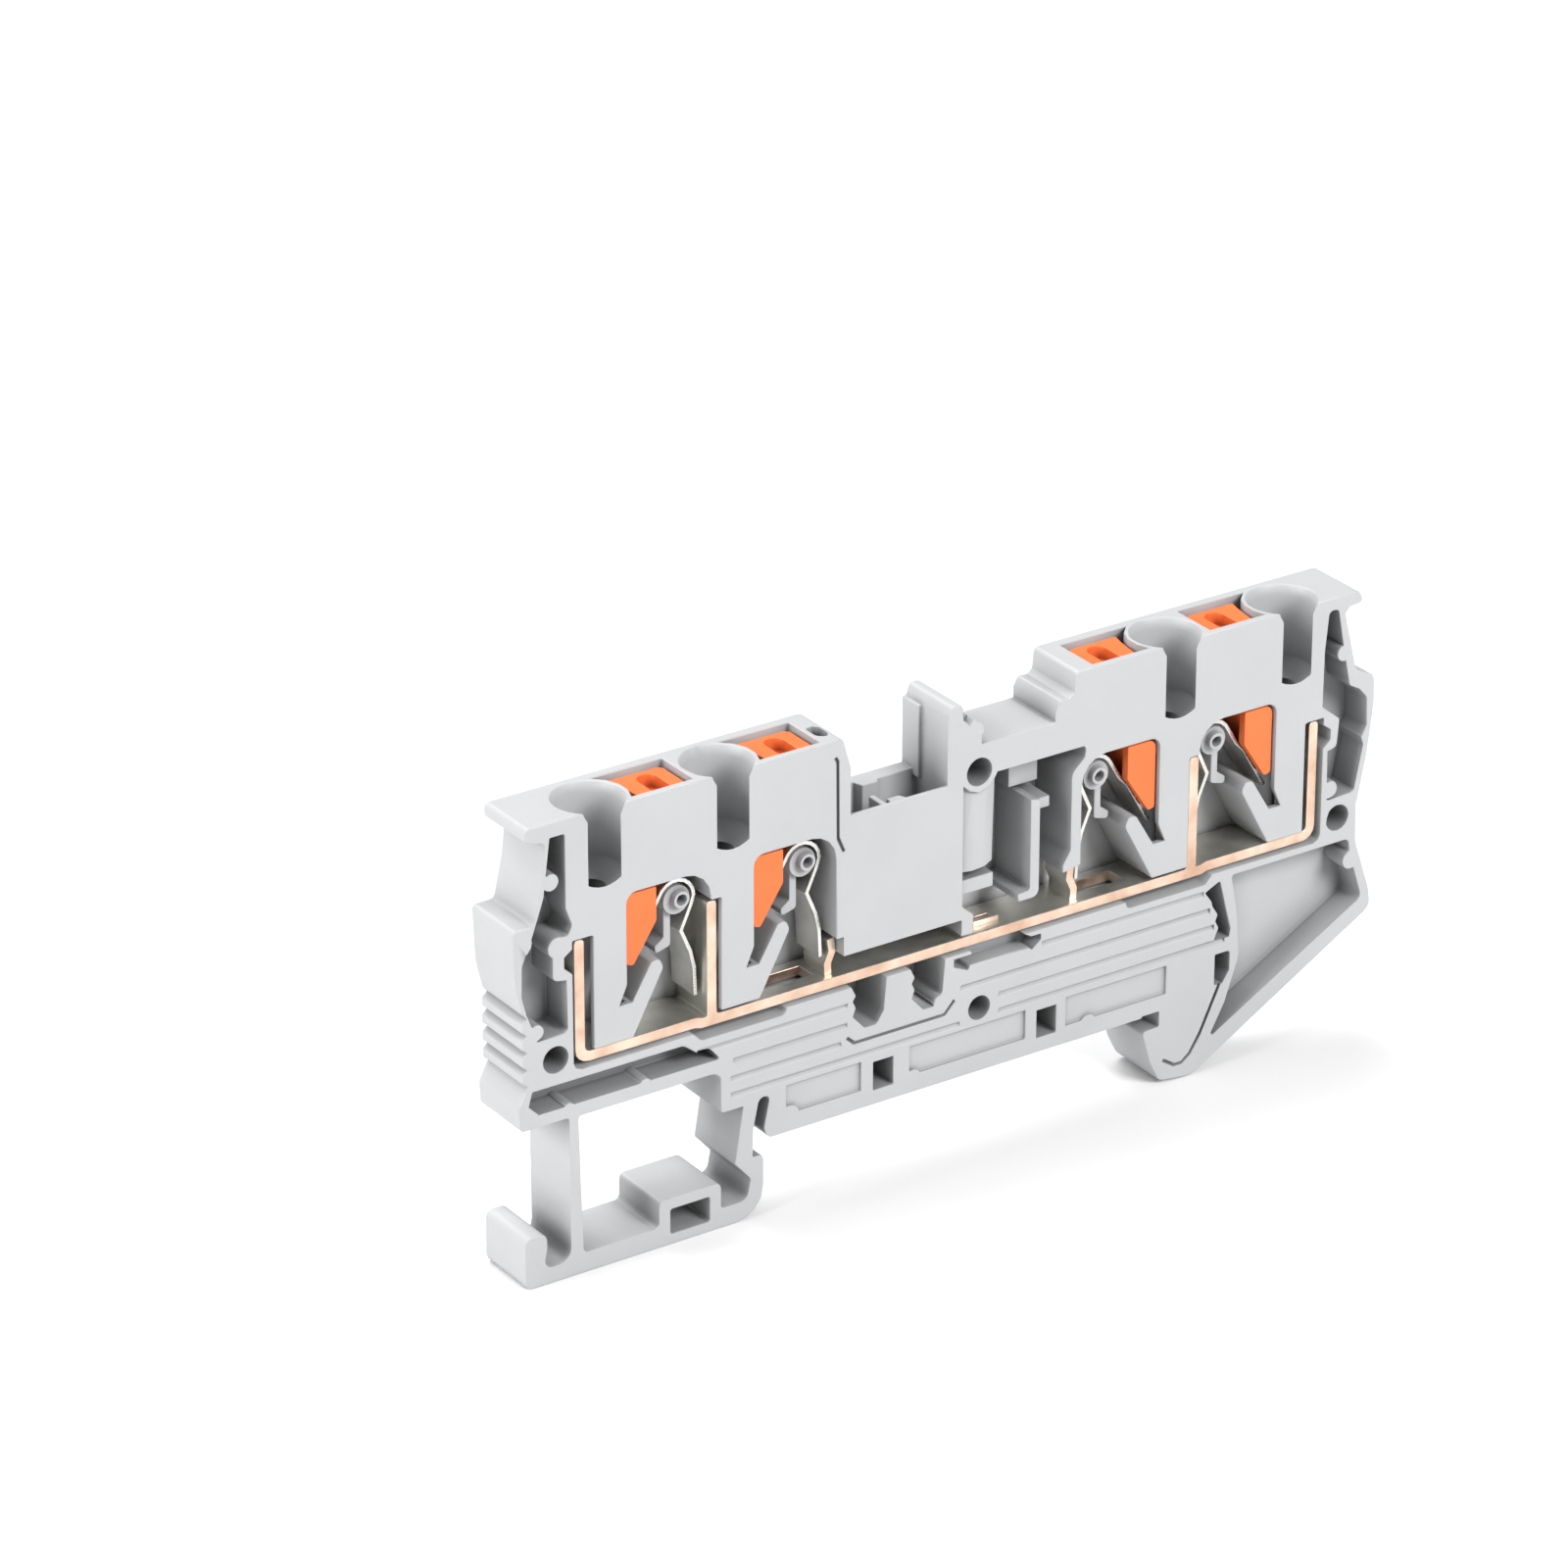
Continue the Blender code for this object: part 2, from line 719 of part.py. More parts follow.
def cut_rib_valleys(group):
    """The valleys between the long ribs under the bar."""
    valleys = [
        (-22.0, -9.5, 8.4),
        (-19.0, -9.5, 6.85),
        (-19.2, -10.0, 5.5),
        (-19.2, 0.1, 4.2),
        (7.2, 21.5, 8.5),
        (0.1, 22.1, 7.0),
        (3.4, 22.5, 5.6),
        (3.4, 23.5, 4.3),
    ]
    for index, (left, right, height) in enumerate(valleys):
        v_groove(f"valley_{index}", left, right, height, 0.44, group)


def cut_fine_grooves(group):
    """The hairline steps of the moulding: beside the left tower, round the centre and round the hook."""
    paths = {
        "tower_groove": [(-10.55, 27.7), (-10.35, 27.35), (-10.3, 21.5), (-9.8, 20.4)],
        "centre_groove": [(-9.5, 5.85), (-8.9, 5.3), (-1.2, 5.3), (-0.35, 6.2)],
        "hook_groove": [(23.2, 0.9), (21.5, -2.7), (20.6, -4.1), (19.9, -4.65), (19.2, -4.65), (18.2, -4)],
    }
    for name, path in paths.items():
        slab(name, band(path, 0.22), -PAST, 0.3, group)


def add_coil_posts(group):
    """The post that carries each spring's coil, with its lug, stem and boot."""
    for index, (side, axis) in enumerate(units()):
        x = side * (axis - COIL_INWARD)
        back = CHAMBER_DEPTH + ROOT
        slab(f"coil_post_{index}", circle(x, COIL_Z, BOSS_RADIUS, 20), BOSS_FRONT, back, group)
        lug = circle(side * (axis - EYE_INWARD), EYE_Z, LUG_RADIUS, 16)
        slab(f"lug_{index}", lug, LUG_FRONT, BOSS_FRONT + 0.4, group)
        stem = [
            (5.65, COIL_Z),
            (6.25, COIL_Z),
            (6.25, 16.25, 0.3),
            (4.95, 15.9, 0.3),
            (4.95, 16.5, 0.1),
            (5.65, 17.0, 0.2),
        ]
        slab(f"stem_{index}", rounded(at_unit(side, axis, stem)), STEM_FRONT, back, group)


def add_middle_forms(group):
    """What stands in the test window: the ring, the hooked wall, the round post and its ledge."""
    back = CHAMBER_DEPTH + ROOT
    slab("ring", circle(1.57, 23.45, 1.55, 24), 0, back, group)
    hooked = [
        (6.05, 20.1),
        (6.85, 19.95, 0.2),
        (6.85, 12.4, 0.6),
        (5.0, 12.4, 0.2),
        (5.0, 13.0, 0.1),
        (6.05, 13.1, 0.2),
    ]
    slab("hooked_wall", rounded(hooked), 0, back, group)
    slab("hooked_shelf", box(6.7, 8.15, 18.8, 19.65), 0.7, back, group)
    post = [(0.0, back)] + arc((1.3, 3.6), 3.4, 248, 308) + [(3.4, back)]
    column("round_post", post, 15.8, 23.3, group)
    slab("post_ledge", box(0.0, 3.1, 14.1, 15.2), 0.35, back, group)
    slab("window_plate", box(5.5, 8.0, 20.4, 23.4), 2.0, back, group)
    step = box(-1.45, -0.9, 3.15, CASE_WIDTH)
    column("fin_step", step, BRIDGE_FLOOR_Z - 0.5, TOWER_TOP - 0.9, group)


def add_studs(group):
    """The round ejector lands that break the edges of the pockets, level with the open side."""
    lands = [
        (-33.6, 24.55, 0.65, END_POCKET_DEPTH),
        (-35.85, 20.4, 0.72, END_POCKET_DEPTH),
        (-33.1, 19.55, 0.8, END_POCKET_DEPTH),
        (-34.9, 13.6, 0.6, END_POCKET_DEPTH),
        (33.65, 24.4, 0.65, END_POCKET_DEPTH),
        (32.7, 13.8, 0.7, END_POCKET_DEPTH),
        (34.9, 7.6, 0.75, RECESS_DEPTH),
        (-26.2, 7.1, 0.5, LONG_POCKET_DEPTH),
        (-32.4, 7.05, 0.5, LONG_POCKET_DEPTH),
        (-1.55, 6.35, 0.6, HOLE_DEPTH),
        (-14.3, 1.2, 0.8, PANEL_DEPTH),
        (-3.9, 1.0, 0.75, PANEL_DEPTH),
        (11.4, 1.0, 0.7, PANEL_DEPTH),
    ]
    for index, (x, z, radius, depth) in enumerate(lands):
        slab(f"land_{index}", circle(x, z, radius, 16), 0, depth + ROOT, group)


def cut_round_holes(group):
    """The holes that take the pins of the next block, and the eyes of the spring posts."""
    pin_holes = [(-33.4, 11.15, 1.0), (33.5, 11.35, 1.0), (1.57, 23.45, 1.05), (1.8, 5.0, 0.92)]
    for index, (x, z, radius) in enumerate(pin_holes):
        slab(f"pin_hole_{index}", circle(x, z, radius, 24), -PAST, HOLE_DEPTH, group)
    for index, (side, axis) in enumerate(units()):
        eye = circle(side * (axis - EYE_INWARD), EYE_Z, EYE_RADIUS, 14)
        slab(f"eye_{index}", eye, -PAST, LUG_FRONT + 1.8, group)


def make_housing(parts, helpers):
    outline = rounded(left_end() + right_end() + middle_top())
    housing = slab("housing", outline, 0, CASE_WIDTH, parts)
    pockets = new_collection("pocket_cutters", helpers, hidden=True)
    for cut in (
        cut_windows,
        cut_funnels,
        cut_shafts,
        cut_bar_channel,
        cut_middle,
        cut_end_pockets,
        cut_lower_body,
        cut_foot,
        cut_lower_row,
        cut_rib_valleys,
        cut_fine_grooves,
    ):
        cut(pockets)
    # So many cutters meet in the case that only this solver leaves one closed surface.
    combine(housing, "pockets", "DIFFERENCE", pockets, "MANIFOLD")
    forms = new_collection("joined_forms", helpers, hidden=True)
    for add in (add_coil_posts, add_middle_forms, add_studs):
        add(forms)
    combine(housing, "forms", "UNION", forms, "MANIFOLD")
    holes = new_collection("hole_cutters", helpers, hidden=True)
    cut_round_holes(holes)
    combine(housing, "holes", "DIFFERENCE", holes, "MANIFOLD")
    place_material(housing, "grey_polyamide", (0.56, 0.58, 0.6), 0.45)


def bar_outline():
    """The bent strip seen from the open side: its foot, two end legs and two mid legs."""
    top = BAR_BASE + STRIP
    end_top = top + BAR_RISE
    tip = 0.25
    half = [
        (MID_LEG - STRIP, top, 0.2),
        (MID_LEG - STRIP, LEG_TOP, tip),
        (MID_LEG, LEG_TOP, tip),
        (MID_LEG, top, 0.1),
        (MID_LEG + 0.4, top),
        (MID_LEG + 0.9, end_top),
        (END_LEG - STRIP, end_top, 0.35),
        (END_LEG - STRIP, LEG_TOP, tip),
        (END_LEG, LEG_TOP, tip),
        (END_LEG, BAR_BASE + BAR_RISE, 1.1),
        (MID_LEG + 1.0, BAR_BASE + BAR_RISE),
        (MID_LEG + 0.5, BAR_BASE),
    ]
    return rounded(half + mirrored(-1, half)[::-1])


def make_bar(parts, helpers):
    bar = slab("current_bar", bar_outline(), BAR_FRONT, BAR_BACK, parts)
    tabs = new_collection("bar_tabs", helpers, hidden=True)
    holes = new_collection("bar_holes", helpers, hidden=True)
    top = BAR_BASE + STRIP
    for side in (-1, 1):
        path = [(TAB_X + 0.1, top - 0.3), (TAB_X + 0.15, 11.6), (TAB_X - 0.25, 12.5), (TAB_X - 0.1, 13.5)]
        slab(f"tab_{side}", band(mirrored(side, path), 0.6), TAB_FRONT, TAB_BACK, tabs)
        punched = mirrored(side, box(TAB_X + 1.0, TAB_X + 5.0, BAR_BASE - PAST, top + PAST))
        slab(f"punched_{side}", punched, HOLE_FRONT, HOLE_BACK, holes)
    slab("test_hole", box(2.2, 4.2, BAR_BASE - PAST, top + PAST), HOLE_FRONT, HOLE_BACK - 0.6, holes)
    slab("test_lip", box(2.1, 4.3, top - ROOT, top + 0.35), HOLE_FRONT - 0.3, HOLE_FRONT, tabs)
    combine(bar, "holes", "DIFFERENCE", holes)
    combine(bar, "tabs", "UNION", tabs)
    place_material(bar, "tinned_copper", (0.85, 0.56, 0.4), 0.32, 1.0)


def spring_path():
    """The bent sheet: up the holding leg, over the coil and down the clamping leg."""
    holding = [(8.0, 12.1), (7.9, 14.3), (7.6, 15.6), (6.85, 17.36), (7.65, 19.1)]
    coil = arc((COIL_INWARD, COIL_Z), COIL_RADIUS, 0, 142)
    clamping = [(4.3, 19.1), (3.6, 18.4), (1.7, 15.1)]
    return holding + coil + clamping


def make_springs(parts):
    for index, (side, axis) in enumerate(units()):
        path = at_unit(side, axis, spring_path())
        spring = slab(f"leg_spring_{index + 1}", band(path, SHEET), SPRING_FRONT, SPRING_BACK, parts)
        place_material(spring, "spring_steel", (0.72, 0.72, 0.7), 0.3, 1.0)


def head_corners(plan):
    """The head's plan with a small cut at each of its four corners."""
    (inner, back), (_, front), *hollow = plan
    return [
        (inner - CORNER_CUT, back),
        (inner, back - CORNER_CUT),
        (inner, front + CORNER_CUT),
        (inner - CORNER_CUT, front),
        (hollow[0][0] + CORNER_CUT, front),
        *hollow[1:-1],
        (hollow[-1][0] + CORNER_CUT, back),
    ]


def pusher_core():
    """The pusher seen from the open side: its head, its shank and the nose that bends the spring."""
    return [
        (HEAD_OUTER, PUSHER_TOP - 3.0),
        (HEAD_INNER, PUSHER_TOP - 3.0),
        (HEAD_INNER, HEAD_BASE, 0.2),
        (NECK_INNER, HEAD_BASE, 0.3),
        (NECK_INNER, WINDOW_TOP),
        (SHANK_INNER, 19.5),
        (SHANK_INNER, 18.5),
        (2.15, 16.75, 0.1),
        (NOSE_OUTER, 17.0, 0.1),
        (NOSE_OUTER, WINDOW_TOP - 0.25, 0.3),
        (HEAD_OUTER, WINDOW_TOP - 0.1, 0.2),
    ]


def pusher_cheek():
    """The flat cheek that fills the window in front of the spring's clamping leg."""
    return [
        (NOSE_OUTER, WINDOW_TOP - 0.25, 0.6),
        (CHEEK_INNER, WINDOW_TOP - 0.25, 0.1),
        (CHEEK_INNER, 19.25, 0.3),
        (2.4, 16.35, 0.2),
        (NOSE_OUTER, 16.5, 0.2),
    ]


def slot_plan(centre):
    """The screwdriver's slot in the head: open to the front, with a round end at the back."""
    end = arc((centre, SLOT_END), SLOT_RADIUS, 0, 180)
    return [(centre + SLOT_RADIUS, 0)] + end + [(centre - SLOT_RADIUS, 0)]


def make_pushers(parts, helpers):
    head_plan = head_corners(shaft_plan(HEAD_INNER, PUSHER_FRONT, PUSHER_BACK, SHAFT_RING + PUSHER_GAP))
    centre = (HEAD_INNER + HEAD_OUTER) / 2
    for index, (side, axis) in enumerate(units()):
        name = f"pusher_{index + 1}"
        head = column(name, at_unit(side, axis, head_plan), PUSHER_TOP - 3.2, PUSHER_TOP, parts)
        joined = new_collection(f"{name}_forms", helpers, hidden=True)
        core = rounded(at_unit(side, axis, pusher_core()))
        slab(f"{name}_core", core, PUSHER_FRONT, PUSHER_BACK, joined)
        cheek = rounded(at_unit(side, axis, pusher_cheek()))
        slab(f"{name}_cheek", cheek, CHEEK_FRONT, CHEEK_BACK, joined)
        combine(head, "forms", "UNION", joined)
        cuts = new_collection(f"{name}_cuts", helpers, hidden=True)
        slot = at_unit(side, axis, slot_plan(centre))
        column(f"{name}_slot", slot, PUSHER_TOP - SLOT_DEPTH, PUSHER_TOP + PAST, cuts)
        combine(head, "slot", "DIFFERENCE", cuts)
        place_material(head, "orange_polyamide", (0.95, 0.36, 0.1), 0.42)
        middle = (PUSHER_FRONT + PUSHER_BACK - CASE_WIDTH) / 2
        move_origin(head, (side * (axis - centre), middle, PUSHER_TOP))


def move_origin(solid, place):
    """Sets an object's origin on its sliding axis without moving its shape."""
    offset = Vector(place) * MM
    solid.data.transform(Matrix.Translation(-offset))
    solid.location = offset


def main():
    clear_scene()
    root = bpy.context.scene.collection
    parts = new_collection("terminal_block", root)
    helpers = new_collection("helpers", root, hidden=True)
    make_housing(parts, helpers)
    make_bar(parts, helpers)
    make_springs(parts)
    make_pushers(parts, helpers)


main()
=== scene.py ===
# %% [markdown]
# # A slim terminal block for a mounting rail
#
# This lesson dresses one feed-through terminal block: a grey moulding, open on one side, with a bent current
# bar, four leg springs and four orange pushers inside. The solids come from the CAD frame and everything is in
# metres. We load the frame first, because the case, the bar and the pushers we add ride on its bodies.

# %% Load the frame
import math

import bpy
import numpy as np
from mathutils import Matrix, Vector


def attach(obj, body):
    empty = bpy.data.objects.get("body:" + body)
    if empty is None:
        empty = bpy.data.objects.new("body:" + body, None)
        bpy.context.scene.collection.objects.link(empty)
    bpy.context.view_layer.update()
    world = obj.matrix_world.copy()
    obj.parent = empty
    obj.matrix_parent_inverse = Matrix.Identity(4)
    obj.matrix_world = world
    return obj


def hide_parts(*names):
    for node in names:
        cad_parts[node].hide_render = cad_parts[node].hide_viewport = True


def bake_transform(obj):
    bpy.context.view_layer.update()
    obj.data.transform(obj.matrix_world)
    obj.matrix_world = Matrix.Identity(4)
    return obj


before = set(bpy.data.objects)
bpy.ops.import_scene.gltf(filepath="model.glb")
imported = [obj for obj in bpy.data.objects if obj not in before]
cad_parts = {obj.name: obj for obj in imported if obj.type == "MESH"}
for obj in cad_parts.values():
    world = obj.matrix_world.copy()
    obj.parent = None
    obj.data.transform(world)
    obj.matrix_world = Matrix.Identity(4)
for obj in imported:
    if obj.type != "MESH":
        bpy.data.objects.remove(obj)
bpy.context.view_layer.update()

MM = 0.001
print("nodes:", sorted(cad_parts))

# %% [markdown]
# ## Edges that catch the light
#
# A moulding never has knife edges: the tool leaves a radius of about a tenth of a millimetre, and that radius
# draws a bright line round every shape. We could fake it in the shader, but a real bevel also shows on the
# outline. The CAD mesh is loose triangles, so we merge a copy, dissolve its flat faces and bevel what is sharp.

# %% Copy a node as one closed mesh
MERGE_REACH = 2e-6
FLAT_WITHIN = math.radians(0.5)


def deselect_all():
    bpy.ops.object.select_all(action="DESELECT")


def pick(piece):
    deselect_all()
    piece.select_set(True)
    bpy.context.view_layer.objects.active = piece


def copy_of(node, name):
    """A merged copy of a CAD node, as a free object with its own mesh."""
    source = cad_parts[node]
    piece = bpy.data.objects.new(name, source.data.copy())
    bpy.context.scene.collection.objects.link(piece)
    pick(piece)
    bpy.ops.object.mode_set(mode="EDIT")
    bpy.ops.mesh.select_all(action="SELECT")
    bpy.ops.mesh.remove_doubles(threshold=MERGE_REACH)
    bpy.ops.mesh.dissolve_limited(angle_limit=FLAT_WITHIN)
    bpy.ops.object.mode_set(mode="OBJECT")
    return piece


shell = copy_of("housing", "housing_shell")
print("merged copy of the housing:", len(shell.data.polygons), "faces")

# %% [markdown]
# A bevel has one weakness. Where two edges lie closer together than their radii, the two bevels run into each
# other and the face between them folds over, which renders as a black patch. So we bevel, look for folded
# faces, take the radius off the edges beside them and bevel again. A face is folded if its outline crosses
# itself or if it has turned over, and the crossing test is a little vector algebra on all pairs of its edges.

# %% Find folded faces
SMALL_FACE = 8
TURNED_OVER = 0.15


def self_crossings(polygon, corners):
    """Where the edges of one face cross, in the plane that shows the face best."""
    points = np.array([corner.co for corner in corners])
    flat = np.delete(points, int(np.argmax(np.abs(polygon.normal))), axis=1)
    step = np.roll(flat, -1, axis=0) - flat
    offset = flat[None, :, :] - flat[:, None, :]
    side = step[:, None, 0] * offset[:, :, 1] - step[:, None, 1] * offset[:, :, 0]
    parted = side * np.roll(side, -1, axis=1) < 0
    spots = []
    for first, second in zip(*np.nonzero(np.triu(parted & parted.T, 2))):
        follower = (second + 1) % len(points)
        if follower != first:
            share = side[first, second] / (side[first, second] - side[first, follower])
            spots.append(points[second] + share * (points[follower] - points[second]))
    return spots


def folds(mesh):
    """Every place where bevels have run into each other."""
    spots = []
    for polygon in mesh.polygons:
        corners = [mesh.vertices[index] for index in polygon.vertices]
        outward = sum((corner.normal for corner in corners), Vector())
        if len(corners) < SMALL_FACE and outward.dot(polygon.normal) < TURNED_OVER * len(corners):
            spots += [np.array(corner.co) for corner in corners]
        if len(corners) > 3:
            spots += self_crossings(polygon, corners)
    return spots


print("folds in the plain copy:", len(folds(shell.data)))

# %% [markdown]
# Only edges where two faces meet at a clear angle get a radius. The facets of a round post meet at less, and
# stay without one.

# %% Find the sharp edges
SHARP_FROM = math.radians(40)


def sharp_edges(mesh):
    """The numbers and the two ends of the edges whose faces meet at a sharp angle."""
    faces = {}
    for polygon in mesh.polygons:
        for key in polygon.edge_keys:
            faces.setdefault(key, []).append(polygon.normal)
    chosen = []
    for edge in mesh.edges:
        beside = faces[tuple(sorted(edge.vertices))]
        if len(beside) == 2 and beside[0].angle(beside[1]) > SHARP_FROM:
            chosen.append(edge)
    ends = np.array([[mesh.vertices[index].co for index in edge.vertices] for edge in chosen])
    return [edge.index for edge in chosen], ends


print("sharp edges of the housing:", len(sharp_edges(shell.data)[0]))

# %% [markdown]
# The next helper puts these together. The weight of each edge is an attribute of the mesh, and the Bevel
# modifier reads it. Each round clears a wider strip beside the folds it finds, and after the last one the
# modifier is applied. Weighted normals then keep the big flat faces evenly lit up to their rounded edges.

# %% Round the edges
ROUNDS = 4
CLEAR_WIDTHS = 1.3
WIDER_EACH_ROUND = 0.5
ARC_STEPS = 2
SMOOTH_UP_TO = math.radians(30)
NO_LENGTH = 1e-18


def soften(piece, width):
    """Rounds the sharp edges, save where the radius has no room, and smooths the facets."""
    numbers, ends = sharp_edges(piece.data)
    piece.data.attributes.new("bevel_weight_edge", "FLOAT", "EDGE")
    keep = np.ones(len(numbers))
    start, way = ends[:, 0], ends[:, 1] - ends[:, 0]
    length_squared = np.maximum((way**2).sum(axis=1), NO_LENGTH)
    bevel = piece.modifiers.new("edge radius", "BEVEL")
    bevel.width = width
    bevel.segments = ARC_STEPS
    bevel.limit_method = "WEIGHT"
    bevel.use_clamp_overlap = False
    for turn in range(ROUNDS):
        weights = piece.data.attributes["bevel_weight_edge"]
        for number, weight in zip(numbers, keep):
            weights.data[number].value = weight
        piece.data.update()
        graph = bpy.context.evaluated_depsgraph_get()
        spots = folds(piece.evaluated_get(graph).data)
        for spot in spots:
            along = np.clip(((spot - start) * way).sum(axis=1) / length_squared, 0, 1)
            apart = np.linalg.norm(start + along[:, None] * way - spot, axis=1)
            keep[apart < width * (CLEAR_WIDTHS + WIDER_EACH_ROUND * turn)] = 0
        if not spots:
            break
    pick(piece)
    bpy.ops.object.modifier_apply(modifier=bevel.name)
    bpy.ops.object.shade_smooth_by_angle(angle=SMOOTH_UP_TO)
    weighted = piece.modifiers.new("even shading", "WEIGHTED_NORMAL")
    weighted.keep_sharp = True
    bpy.ops.object.modifier_apply(modifier=weighted.name)
    rounded = int(keep.sum())
    print(piece.name, len(piece.data.polygons), "faces,", rounded, "of", len(keep), "edges rounded")


print("a bevel is tried", ROUNDS, "times at most")

# %% [markdown]
# ## Helpers for the shaders
#
# Every finish below is built from the same few nodes: a noise, a range for it, and a mix of two colours. A
# helper for each keeps the recipes short. The two ends of a range may be plain numbers or the outputs of other
# nodes.

# %% Small node helpers
NOISE_LOW, NOISE_HIGH = 0.3, 0.7


def new_group(name, sockets_in, sockets_out):
    group = bpy.data.node_groups.new(name, "ShaderNodeTree")
    for label, kind, value in sockets_in:
        socket = group.interface.new_socket(label, in_out="INPUT", socket_type=kind)
        socket.default_value = value
    for label, kind in sockets_out:
        group.interface.new_socket(label, in_out="OUTPUT", socket_type=kind)
    return group, group.nodes.new("NodeGroupInput"), group.nodes.new("NodeGroupOutput")


def noise(tree, coordinates, scale, detail):
    texture = tree.nodes.new("ShaderNodeTexNoise")
    texture.inputs["Scale"].default_value = scale
    texture.inputs["Detail"].default_value = detail
    tree.links.new(coordinates, texture.inputs["Vector"])
    return texture.outputs["Fac"]


def ranged(tree, value, low, high):
    """Maps a noise value, which stays near the middle, to a range."""
    node = tree.nodes.new("ShaderNodeMapRange")
    node.inputs["From Min"].default_value = NOISE_LOW
    node.inputs["From Max"].default_value = NOISE_HIGH
    tree.links.new(value, node.inputs["Value"])
    for socket, bound in (("To Min", low), ("To Max", high)):
        if isinstance(bound, float):
            node.inputs[socket].default_value = bound
        else:
            tree.links.new(bound, node.inputs[socket])
    return node.outputs["Result"]


def mixed(tree, factor, first, second):
    node = tree.nodes.new("ShaderNodeMix")
    node.data_type = "RGBA"
    tree.links.new(factor, node.inputs["Factor"])
    tree.links.new(first, node.inputs["A"])
    tree.links.new(second, node.inputs["B"])
    return node.outputs["Result"]


print("a noise counts from", NOISE_LOW, "to", NOISE_HIGH)

# %% [markdown]
# ## What the plastics share
#
# Moulded polyamide has a fine spark-eroded skin: it scatters highlights and shows faint clouds where the melt
# flowed. Both plastics of this block have it, so it is one node group with a value for each. Its noise is read
# from Object coordinates, so the grain has the same size on every piece.

# %% The moulded skin as a node group
CLOUD_SCALE, CLOUD_DETAIL = 140.0, 4.0
GRAIN_SCALE, GRAIN_DETAIL = 6500.0, 3.0
FINISH_OUTPUTS = [
    ("Colour", "NodeSocketColor"),
    ("Roughness", "NodeSocketFloat"),
    ("Height", "NodeSocketFloat"),
]


def moulded_skin_group():
    group, inside, outside = new_group(
        "moulded skin",
        [
            ("Colour", "NodeSocketColor", (0.5, 0.5, 0.5, 1)),
            ("Cloud Colour", "NodeSocketColor", (0.4, 0.4, 0.4, 1)),
            ("Smooth", "NodeSocketFloat", 0.35),
            ("Rough", "NodeSocketFloat", 0.5),
        ],
        FINISH_OUTPUTS,
    )
    given = inside.outputs
    place = group.nodes.new("ShaderNodeTexCoord").outputs["Object"]
    clouds = noise(group, place, CLOUD_SCALE, CLOUD_DETAIL)
    grain = noise(group, place, GRAIN_SCALE, GRAIN_DETAIL)
    cover = ranged(group, clouds, 0.0, 1.0)
    colour = mixed(group, cover, given["Colour"], given["Cloud Colour"])
    group.links.new(colour, outside.inputs["Colour"])
    rough = ranged(group, grain, given["Smooth"], given["Rough"])
    group.links.new(rough, outside.inputs["Roughness"])
    group.links.new(grain, outside.inputs["Height"])
    return group


moulded_skin = moulded_skin_group()
print("group:", moulded_skin.name)

# %% [markdown]
# ## Grey and orange polyamide
#
# The case is a light, slightly cool grey, and the pushers are a warm orange. The grain is a bump of a few
# thousandths of a millimetre. Little light gets into holes and inner corners, and their shade is painted into
# the base colour. The Ambient Occlusion node measures how open a spot is, once over three millimetres for the
# holes and once over half a millimetre for the corners, and the colour is scaled down where a spot is closed
# in.

# %% Helpers for a new material
BUMP_STRENGTH = 0.5


def new_material(name):
    material = bpy.data.materials.new(name)
    material.use_nodes = True
    return material, material.node_tree, material.node_tree.nodes["Principled BSDF"]


def add_bump(tree, height, shader, depth):
    bump = tree.nodes.new("ShaderNodeBump")
    bump.inputs["Distance"].default_value = depth
    bump.inputs["Strength"].default_value = BUMP_STRENGTH
    tree.links.new(height, bump.inputs["Height"])
    tree.links.new(bump.outputs["Normal"], shader.inputs["Normal"])


print("bump strength:", BUMP_STRENGTH)

# %% Painted shade in holes and corners
HOLE_SHADE_REACH = 3 * MM
CORNER_SHADE_REACH = 0.5 * MM
OPENNESS_SAMPLES = 6


def scaled(tree, colour, factor):
    node = tree.nodes.new("ShaderNodeVectorMath")
    node.operation = "SCALE"
    tree.links.new(colour, node.inputs[0])
    tree.links.new(factor, node.inputs["Scale"])
    return node.outputs["Vector"]


def painted_shade(tree, colour, reach, darkest_shade):
    """Paints shade into a colour: darkens it where the surface is closed in within a reach."""
    openness = tree.nodes.new("ShaderNodeAmbientOcclusion")
    openness.samples = OPENNESS_SAMPLES
    openness.only_local = True
    openness.inputs["Distance"].default_value = reach
    span = tree.nodes.new("ShaderNodeMapRange")
    span.inputs["To Min"].default_value = darkest_shade
    tree.links.new(openness.outputs["AO"], span.inputs["Value"])
    return scaled(tree, colour, span.outputs["Result"])


print("holes are dark over", HOLE_SHADE_REACH / MM, "mm and corners over", CORNER_SHADE_REACH / MM, "mm")

# %% Plastic materials
GRAIN_DEPTH = 0.000006


def plastic(name, colour, cloud, smooth, rough, hole_shade_tone, corner_shade_tone):
    material, tree, shader = new_material(name)
    skin = tree.nodes.new("ShaderNodeGroup")
    skin.node_tree = moulded_skin
    skin.inputs["Colour"].default_value = (*colour, 1)
    skin.inputs["Cloud Colour"].default_value = (*cloud, 1)
    skin.inputs["Smooth"].default_value = smooth
    skin.inputs["Rough"].default_value = rough
    # painted shade: the base colour is scaled down in holes, then again in inner corners
    shaded_in_holes = painted_shade(tree, skin.outputs["Colour"], HOLE_SHADE_REACH, hole_shade_tone)
    shaded_in_corners = painted_shade(tree, shaded_in_holes, CORNER_SHADE_REACH, corner_shade_tone)
    tree.links.new(shaded_in_corners, shader.inputs["Base Color"])
    tree.links.new(skin.outputs["Roughness"], shader.inputs["Roughness"])
    add_bump(tree, skin.outputs["Height"], shader, GRAIN_DEPTH)
    shader.inputs["IOR"].default_value = 1.5
    shader.inputs["Specular IOR Level"].default_value = 0.4
    return material


